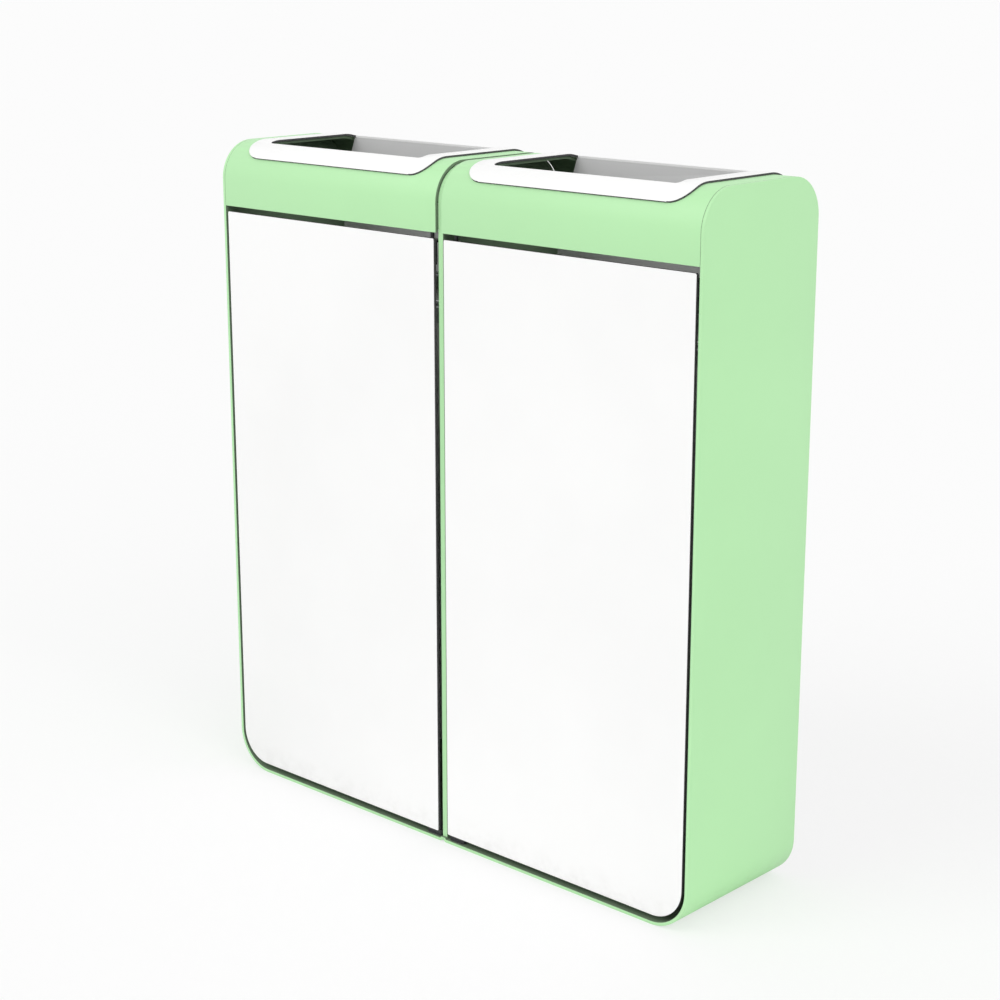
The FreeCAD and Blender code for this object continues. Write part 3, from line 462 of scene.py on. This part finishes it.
def aim(shape, spot, direction):
    """Stand the shape's +Z along the direction, with its foot on the spot."""
    turn = Vector(direction).to_track_quat("Z", "X").to_matrix().to_4x4()
    bmesh.ops.transform(shape, matrix=Matrix.Translation(spot) @ turn, verts=shape.verts)
    return shape


def gather(shapes):
    """One bmesh of several."""
    whole = bmesh.new()
    for shape in shapes:
        mesh = bpy.data.meshes.new("gathered")
        shape.to_mesh(mesh)
        shape.free()
        whole.from_mesh(mesh)
        bpy.data.meshes.remove(mesh)
    return whole


def stand_in(shape, node, material, body="cabinets", smooth=30.0):
    """Add a piece that takes one node's place."""
    piece = add_piece(shape, f"{node}_detail", body, (material,), smooth)
    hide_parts(node)
    print(f"{piece.name}: {len(piece.data.polygons)} faces")
    return piece


# %% [markdown]
# ## Rivets of the back panels
#
# Each back panel hangs on blind rivets. The head outside is a low dome with the broken
# end of its mandrel in a dimple, and the end inside is the tube, squashed into a ring.

# %% Rivets
PANEL_BACK = 109.3
TAB_FRONT = 106.3
SIDE_RIVETS = [(across, up) for across in (12.0, 398.0) for up in (100.0, 420.0, 740.0)]
RIVET_SPOTS = SIDE_RIVETS + [(205.0, 14.0)]
DIMPLE = [(0.0, 0.75), (0.55, 0.75), (0.65, 1.12)]
HEAD = DIMPLE + [(1.2, 1.18), (2.3, 0.85), (3.0, 0.35), (3.2, 0.0), (0.0, 0.0)]
SHANK = [(0.0, 0.0), (1.6, 0.0), (1.6, 3.0), (0.0, 3.0)]
TUBE_END = [(0.0, 0.1), (0.8, 0.1), (1.1, 1.0)]
UPSET = TUBE_END + [(1.8, 1.15), (2.35, 0.8), (2.4, 0.3), (1.9, 0.0), (0.0, 0.0)]
rivets = []
for sign in SIDES.values():
    for across, up in RIVET_SPOTS:
        foot = Vector((sign * across, PANEL_BACK, up)) * MM
        inner = Vector((sign * across, TAB_FRONT, up)) * MM
        rivets.append(aim(lathe(HEAD), foot, (0, 1, 0)))
        rivets.append(aim(lathe(SHANK), inner, (0, 1, 0)))
        rivets.append(aim(lathe(UPSET), inner, (0, -1, 0)))
stand_in(gather(rivets), "rivets", zinc_steel)

# %% [markdown]
# ## Nuts, thread ends and bolts
#
# A nut is pressed from bar and its six corners are turned off at both faces. A bevel on
# the corner points alone, not on the edges, cuts just those corners. The stud's thread
# comes a few turns out of each nut.

# %% Helpers for nuts
NUT_FLATS = 8.0
NUT_HEIGHT = 4.0
STUD_RADIUS = 2.5
PITCH = 0.8
THREAD_RISE = 0.08
THREAD_ROOT = 0.01


def hexagon(flats, height, chamfer=0.7):
    """A six-sided block with its corners turned off."""
    shape = bmesh.new()
    reach = flats / math.sqrt(3) * MM
    made = bmesh.ops.create_cone(
        shape, cap_ends=True, segments=6, radius1=reach, radius2=reach, depth=height * MM,
    )
    bmesh.ops.translate(shape, verts=made["verts"], vec=(0, 0, height / 2 * MM))
    bmesh.ops.bevel(
        shape, geom=made["verts"], offset=chamfer * MM, segments=2, profile=0.5,
        affect="VERTICES", clamp_overlap=True, material=-1,
    )
    return shape


def thread(radius, foot, turns):
    """A short screw thread with a flat end, from the foot upwards."""
    crest, root = radius + THREAD_RISE, radius + THREAD_ROOT
    tooth = [(root, foot), (crest, foot + PITCH / 2), (root, foot + PITCH)]
    helix = lathe(tooth, 24, turns, PITCH)
    end = foot + PITCH * (turns + 1)
    tip = lathe([(root, end - PITCH), (root, end - 0.3), (root - 0.4, end), (0.0, end)], 24)
    return [helix, tip]


def nut_on_stud(spot, direction, turns):
    spot = Vector(spot) * MM
    shapes = [hexagon(NUT_FLATS, NUT_HEIGHT), *thread(STUD_RADIUS, NUT_HEIGHT - PITCH / 2, turns)]
    return [aim(shape, spot, direction) for shape in shapes]


# %% Nuts of the hoods, shelves and rims
RIM_STUD_LEAN = math.radians(37.35)
RIM_NUT_FOOT = 45.77
HOOD_STUD_TURNS = SHELF_STUD_TURNS = 6
RIM_STUD_TURNS = 4
ends = {"hood_nuts": [], "shelf_nuts": [], "rim_nuts": []}
for sign in SIDES.values():
    for across in (60.0, 350.0):
        ends["hood_nuts"] += nut_on_stud((sign * across, -104.5, 833.0), (0, 1, 0), HOOD_STUD_TURNS)
        ends["hood_nuts"] += nut_on_stud((sign * across, 104.5, 833.0), (0, -1, 0), HOOD_STUD_TURNS)
    for along in (-51.0, 69.0):
        ends["shelf_nuts"] += nut_on_stud((sign * 6.0, along, 704.0), (sign, 0, 0), SHELF_STUD_TURNS)
        ends["shelf_nuts"] += nut_on_stud((sign * 404.0, along, 704.0), (-sign, 0, 0), SHELF_STUD_TURNS)
    for across in (85.0, 325.0):
        for sense in (-1, 1):
            lean = Vector((0.0, sense * math.sin(RIM_STUD_LEAN), math.cos(RIM_STUD_LEAN)))
            bend = Vector((sign * across, sense * BEND_Y / MM, BEND_Z / MM))
            ends["rim_nuts"] += nut_on_stud(bend + lean * RIM_NUT_FOOT, -lean, RIM_STUD_TURNS)
for node, shapes in ends.items():
    stand_in(gather(shapes), node, zinc_steel)

# %% Bolts between the cabinets
BOLT_RADIUS = 3.0
BOLT_FLATS = 10.0
BOLT_CHAMFER = 0.9
BOLT_SHANK = [(0.0, 0.0), (BOLT_RADIUS, 0.0), (BOLT_RADIUS, 13.4), (0.0, 13.4)]
bolts = []
bolt_nuts = []
for along in (-70.0, 70.0):
    for up in (120.0, 650.0):
        under_head = Vector((4.0, along, up)) * MM
        inside_head = Vector((4.2, along, up)) * MM
        far_wall = Vector((-4.0, along, up)) * MM
        bolts.append(aim(hexagon(BOLT_FLATS, 4.0, BOLT_CHAMFER), under_head, (1, 0, 0)))
        bolts.append(aim(lathe(BOLT_SHANK), inside_head, (-1, 0, 0)))
        for shape in thread(BOLT_RADIUS, 7.6, 7):
            bolts.append(aim(shape, under_head, (-1, 0, 0)))
        bolt_nuts.append(aim(hexagon(BOLT_FLATS, 5.0, BOLT_CHAMFER), far_wall, (-1, 0, 0)))
stand_in(gather(bolts), "joining_bolts", zinc_steel)
stand_in(gather(bolt_nuts), "joining_nuts", zinc_steel)

# %% [markdown]
# ## The clamp rings
#
# The ring that holds the bag is made here as one length of drawn wire, bent at four
# corners. The picture shows only one bent stretch of it, through the mouth. A closed
# Bezier curve with a round section follows such a bend almost exactly: each corner is a
# quarter circle between two handles of 0.5523 times its radius.

# %% Clamp rings
WIRE_RADIUS = 3.0
QUARTER = 0.5523


def wire_ring(name, left, right, front, rear, level, bend):
    curve = bpy.data.curves.new(name, "CURVE")
    curve.dimensions = "3D"
    curve.bevel_depth = WIRE_RADIUS * MM
    curve.bevel_resolution = 5
    curve.resolution_u = 12
    spline = curve.splines.new("BEZIER")
    spline.use_cyclic_u = True
    corners = [(left, front), (right, front), (right, rear), (left, rear)]
    spline.bezier_points.add(2 * len(corners) - 1)
    for number, corner in enumerate(corners):
        here = Vector(corner)
        before = (Vector(corners[number - 1]) - here).normalized() * bend
        after = (Vector(corners[(number + 1) % 4]) - here).normalized() * bend
        for point, reach, out in ((2 * number, before, True), (2 * number + 1, after, False)):
            place = (here + reach).to_3d() * MM + Vector((0, 0, level * MM))
            bow = -reach.to_3d() * QUARTER * MM
            item = spline.bezier_points[point]
            item.handle_left_type = item.handle_right_type = "FREE"
            item.co = place
            item.handle_right = place + (bow if out else -bow)
            item.handle_left = place - (bow if out else -bow)
    holder = bpy.data.objects.new(name, curve)
    bpy.context.scene.collection.objects.link(holder)
    mesh = bpy.data.meshes.new_from_object(holder)
    bpy.data.objects.remove(holder)
    shape = bmesh.new()
    shape.from_mesh(mesh)
    return shape


for side, sign in SIDES.items():
    left, right = sorted((sign * 20.0, sign * 390.0))
    ring = wire_ring(f"{side}_ring_path", left, right, -80.0, 97.0, 718.3, 34.0)
    bmesh.ops.remove_doubles(ring, verts=ring.verts, dist=1e-6)
    bmesh.ops.recalc_face_normals(ring, faces=ring.faces)
    stand_in(ring, f"{side}_clamp_ring", bright_wire, f"{side}_bag_clamp", 60.0)

# %% [markdown]
# ## Hinge hardware and catches
#
# The hinge angles are folded from strip, so their fold is rounded and their cut edges
# are only broken. The magnet sits in a moulded case between two steel pole plates,
# whose ends stand a hair proud of the case so that they touch the strike plate first.

# %% Hinge hardware
for side in SIDES:
    leaf = f"{side}_door_leaf"
    for level in ("lower", "upper"):
        dress(f"{side}_{level}_hinge_angle", (black_steel,), leaf, width=0.35 * MM)
    dress(f"{side}_door_bushes", (pale_nylon,), leaf, width=0.25 * MM)
    dress(f"{side}_floor_pivot", (black_steel,), width=0.4 * MM)
    dress(f"{side}_top_pin", (black_steel,), width=0.3 * MM)
    dress(f"{side}_strike_plate", (zinc_sheet,), leaf, width=0.3 * MM)


# %% Magnet catches
def plain_block(low, high, edge):
    """A block between two corners, in millimetres, with rounded edges."""
    shape = bmesh.new()
    bmesh.ops.create_cube(shape, size=1.0)
    size = [(top - foot) * MM for foot, top in zip(low, high)]
    middle = [(top + foot) / 2 * MM for foot, top in zip(low, high)]
    bmesh.ops.scale(shape, vec=size, verts=shape.verts)
    bmesh.ops.translate(shape, vec=middle, verts=shape.verts)
    bmesh.ops.bevel(
        shape, geom=shape.edges, offset=edge * MM, segments=3, profile=0.5,
        affect="EDGES", clamp_overlap=True, material=-1,
    )
    return shape


CASE = ((394.0, -104.2, 760.0), (406.0, -84.2, 800.0))
POLE_PROUD = 0.15
POLE_INSET = 5.0
SCREW_INSET = 9.0
SCREW_HEAD = [(0.0, 0.6), (0.5, 0.9), (2.4, 0.6), (2.8, 0.0), (0.0, 0.0)]
for side, sign in SIDES.items():
    low, high = CASE
    shapes = [plain_block(low, high, 1.2)]
    for foot in (396.5, 401.5):
        front = (foot, low[1] - POLE_PROUD, low[2] + POLE_INSET)
        back = (foot + 2.0, low[1] + 4.0, high[2] - POLE_INSET)
        shapes.append(plain_block(front, back, 0.3))
    for up in (low[2] + SCREW_INSET, high[2] - SCREW_INSET):
        spot = Vector((low[0], (low[1] + high[1]) / 2 + 3.0, up)) * MM
        shapes.append(aim(lathe(SCREW_HEAD, 24), spot, (-1, 0, 0)))
    catch = gather(shapes)
    if sign < 0:
        bmesh.ops.scale(catch, vec=(-1, 1, 1), verts=catch.verts)
        bmesh.ops.reverse_faces(catch, faces=catch.faces)
    for face in catch.faces:
        middle = face.calc_center_median()
        plate = middle.y < (low[1] - 0.02) * MM
        screw = abs(middle.x) < (low[0] - 0.02) * MM
        face.material_index = int(plate or screw)
    name = f"{side}_magnet_catch_detail"
    piece = add_piece(catch, name, "cabinets", (dark_plastic, zinc_steel))
    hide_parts(f"{side}_magnet_catch")

# %% [markdown]
# ## Weld beads
#
# Short runs of weld hold the rails to the walls, the floor pivot to the floor and the
# hinge angles to the doors. The picture shows none of these joints. A bead is a row of
# overlapping drops that vary a little in size, which gives its ripples.

# %% Weld beads
def bead(start, end, size=1.5, step=1.3):
    """A row of drops between two points, in millimetres."""
    start, end = Vector(start), Vector(end)
    count = max(int((end - start).length / step), 1)
    drops = []
    for number in range(count + 1):
        drop = bmesh.new()
        bmesh.ops.create_icosphere(drop, subdivisions=2, radius=size * MM)
        wobble = 1.0 + 0.08 * math.sin(number * 2.4)
        bmesh.ops.scale(drop, vec=(wobble, wobble, wobble), verts=drop.verts)
        bmesh.ops.translate(drop, vec=start.lerp(end, number / count) * MM, verts=drop.verts)
        drops.append(drop)
    return gather(drops)


WELD_INSET = 0.5
for side, sign in SIDES.items():
    runs = []
    for across in (4.0 + WELD_INSET, 406.0 - WELD_INSET):
        for along in (-78.5, 78.5):
            runs.append(bead((sign * across, along, 819.0), (sign * across, along, 830.0)))
        for along in (-98.0, 84.0):
            runs.append(bead((sign * across, along, 818.0), (sign * across, along + 14.0, 818.0)))
    # The rail welds take the inner coat, painted shade inside the cabinet.
    add_piece(gather(runs), f"{side}_rail_welds", "cabinets", (inside_painted_shade_coat,), 80.0)
    runs = []
    for along in (-106.0, -88.0):
        runs.append(bead((sign * 11.0, along, 4.4), (sign * 30.0, along, 4.4)))
    add_piece(gather(runs), f"{side}_pivot_welds", "cabinets", (black_steel,), 80.0)
    runs = []
    for up in (43.9, 773.3):
        runs.append(bead((sign * 14.0, -106.1, up), (sign * 24.0, -106.1, up)))
        runs.append(bead((sign * 38.0, -106.1, up), (sign * 48.0, -106.1, up)))
    add_piece(gather(runs), f"{side}_hinge_welds", f"{side}_door_leaf", (black_steel,), 80.0)
print("weld beads on", len(SIDES), "cabinets and doors")

# %% [markdown]
# ## Finishes of the nodes
#
# The nodes that are already right keep their shape and take a finish.

# %% Give each node its finish
FINISHES = {
    "shell": green_coat,
    "hood": green_coat,
    "rim": white_coat,
    "back_panel": back_panel_painted_shade_coat,
    "front_rail": green_coat,
    "rear_rail": green_coat,
    "bag_shelf": zinc_sheet,
    "clamp_ring": bright_wire,
    "door": white_coat,
    "lower_hinge_angle": black_steel,
    "upper_hinge_angle": black_steel,
    "door_bushes": pale_nylon,
    "floor_pivot": black_steel,
    "top_pin": black_steel,
    "strike_plate": zinc_sheet,
    "magnet_catch": dark_plastic,
}
for name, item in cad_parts.items():
    key = name.split("_", 1)[1] if name.split("_", 1)[0] in SIDES else name
    item.data.materials.clear()
    item.data.materials.append(FINISHES.get(key, zinc_steel))
    item.data.shade_smooth()
    item.data.set_sharp_from_angle(angle=math.radians(30))
print("finished nodes:", len(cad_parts))

# %% [markdown]
# ## Floor, light and camera
#
# The bin stands on a plain white floor under soft, even light, so every colour renders
# about as it is written. Two wide suns, one at the front left and one at the right, model
# its form and give the floor its shadow. The floor glows a little for the camera alone,
# so that it looks as pale as the background and throws no extra light on the bin.

# %% Floor
FLOOR_GLOW = 0.62
floor_shape = bmesh.new()
bmesh.ops.create_grid(floor_shape, x_segments=1, y_segments=1, size=120.0)
floor_mesh = bpy.data.meshes.new("studio_floor")
floor_shape.to_mesh(floor_mesh)
floor_shape.free()
floor = bpy.data.objects.new("studio_floor", floor_mesh)
floor.location.z = -0.0002
bpy.context.scene.collection.objects.link(floor)
paper = Recipe("studio paper")
paper.finish(base_color=(0.93, 0.93, 0.93, 1.0), roughness=0.9, specular_ior_level=0.1)
glow = paper.node("ShaderNodeEmission", inputs={"Color": (1, 1, 1, 1), "Strength": 1.0})
seen = paper.node("ShaderNodeLightPath", output="Is Camera Ray")
lifted = paper.node("ShaderNodeMixShader", inputs={0: seen * FLOOR_GLOW, 2: glow})
paper.tree.links.new(paper.shader.outputs[0], lifted.socket.node.inputs[1])
paper.tree.links.new(lifted.socket, paper.tree.nodes["Material Output"].inputs["Surface"])
floor_mesh.materials.append(paper.material)

# %% Light
WORLD_LIGHT = 0.74
WORLD_SEEN = 1.0
world = bpy.data.worlds.new("studio world")
bpy.context.scene.world = world
world.use_nodes = True
sky = world.node_tree
rays = sky.nodes.new("ShaderNodeLightPath")
seen = sky.nodes.new("ShaderNodeMath")
seen.operation = "MAXIMUM"
sky.links.new(rays.outputs["Is Camera Ray"], seen.inputs[0])
sky.links.new(rays.outputs["Is Glossy Ray"], seen.inputs[1])
level = sky.nodes.new("ShaderNodeMix")
level.inputs[2].default_value = WORLD_LIGHT
level.inputs[3].default_value = WORLD_SEEN
sky.links.new(seen.outputs[0], level.inputs[0])
sky.links.new(level.outputs[0], sky.nodes["Background"].inputs["Strength"])
sky.nodes["Background"].inputs["Color"].default_value = (1, 1, 1, 1)


def soft_sun(name, azimuth, elevation, strength, spread):
    """A wide lamp far away. Azimuth 0 is in front of the doors, and 90 is to the right."""
    lamp = bpy.data.lights.new(name, "SUN")
    lamp.energy = strength
    lamp.angle = math.radians(spread)
    item = bpy.data.objects.new(name, lamp)
    turn, rise = math.radians(azimuth), math.radians(elevation)
    ray = Vector((-math.sin(turn) * math.cos(rise), math.cos(turn) * math.cos(rise), -math.sin(rise)))
    item.rotation_euler = ray.to_track_quat("-Z", "Y").to_euler()
    bpy.context.scene.collection.objects.link(item)
    return item


soft_sun("key sun", -25.0, 40.0, 0.70, 40.0)
soft_sun("side sun", 75.0, 30.0, 0.70, 40.0)

# %% Camera
lens = bpy.data.cameras.new("view")
lens.lens = 75.19
lens.sensor_width = 36.0
camera = bpy.data.objects.new("view", lens)
camera.location = (1.8076, -1.9477, 1.1669)
camera.rotation_euler = (math.radians(90.0 - 15.084), 0.0, math.radians(42.845))
bpy.context.scene.collection.objects.link(camera)
bpy.context.scene.camera = camera
bpy.context.scene.view_settings.view_transform = "Standard"
